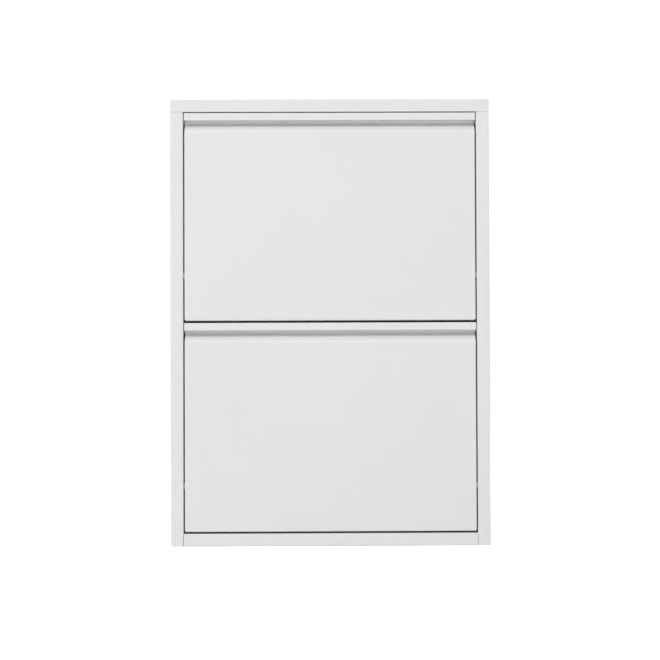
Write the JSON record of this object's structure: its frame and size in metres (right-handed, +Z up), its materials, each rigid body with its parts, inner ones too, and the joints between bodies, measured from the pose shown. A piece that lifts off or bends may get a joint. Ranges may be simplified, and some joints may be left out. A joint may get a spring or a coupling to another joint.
{
  "type": "shoe cabinet",
  "caption": "Narrow white steel shoe cabinet with tilt-out flaps, each with a full-width folded grip lip and a shoe tray behind it.",
  "frame": {"origin": "on the floor, under the middle of the cabinet's footprint", "axes": "+X to the right seen from the front, -Y to the front, +Z up"},
  "size_m": [0.5, 0.15, 0.7],
  "materials": {
    "white_powder_coat": "satin white powder coat with a fine texture on folded steel sheet",
    "nylon": "natural white nylon",
    "rubber": "soft grey rubber",
    "zinc_plate": "bright zinc-plated steel"
  },
  "bodies": {
    "carcass": {"back_panel": "white_powder_coat", "back_screw_left_base": "zinc_plate", "back_screw_left_high": "zinc_plate", "back_screw_left_low": "zinc_plate", "back_screw_left_middle": "zinc_plate", "back_screw_right_base": "zinc_plate", "back_screw_right_high": "zinc_plate", "back_screw_right_low": "zinc_plate", "back_screw_right_middle": "zinc_plate", "bottom_panel": "white_powder_coat", "bottom_screw_left_front": "zinc_plate", "bottom_screw_left_rear": "zinc_plate", "bottom_screw_right_front": "zinc_plate", "bottom_screw_right_rear": "zinc_plate", "corner_bracket_bottom_left": "white_powder_coat", "corner_bracket_bottom_right": "white_powder_coat", "corner_bracket_top_left": "white_powder_coat", "corner_bracket_top_right": "white_powder_coat", "lower_closing_buffer_left": "rubber", "lower_closing_buffer_right": "rubber", "lower_pivot_bush_left": "nylon", "lower_pivot_bush_right": "nylon", "side_panel_left": "white_powder_coat", "side_panel_right": "white_powder_coat", "top_panel": "white_powder_coat", "top_screw_left_front": "zinc_plate", "top_screw_left_rear": "zinc_plate", "top_screw_right_front": "zinc_plate", "top_screw_right_rear": "zinc_plate", "upper_closing_buffer_left": "rubber", "upper_closing_buffer_right": "rubber", "upper_pivot_bush_left": "nylon", "upper_pivot_bush_right": "nylon"},
    "upper_flap": {"upper_cheek_left": "white_powder_coat", "upper_cheek_right": "white_powder_coat", "upper_flap_front": "white_powder_coat", "upper_grip_channel": "white_powder_coat", "upper_pivot_pin_left": "zinc_plate", "upper_pivot_pin_right": "zinc_plate", "upper_retaining_rod": "white_powder_coat", "upper_shoe_tray": "white_powder_coat", "upper_stop_rod": "white_powder_coat", "upper_stop_sleeve_left": "rubber", "upper_stop_sleeve_right": "rubber"},
    "lower_flap": {"lower_cheek_left": "white_powder_coat", "lower_cheek_right": "white_powder_coat", "lower_flap_front": "white_powder_coat", "lower_grip_channel": "white_powder_coat", "lower_pivot_pin_left": "zinc_plate", "lower_pivot_pin_right": "zinc_plate", "lower_retaining_rod": "white_powder_coat", "lower_shoe_tray": "white_powder_coat", "lower_stop_rod": "white_powder_coat", "lower_stop_sleeve_left": "rubber", "lower_stop_sleeve_right": "rubber"}
  },
  "joints": [
    {"name": "upper_flap_hinge", "type": "hinge", "parent": "carcass", "child": "upper_flap", "pos_m": [0, -0.067, 0.42365], "axis": [1, 0, 0], "range_deg": [0, 39.8]},
    {"name": "lower_flap_hinge", "type": "hinge", "parent": "carcass", "child": "lower_flap", "pos_m": [0, -0.067, 0.094], "axis": [1, 0, 0], "range_deg": [0, 39.8]}
  ]
}
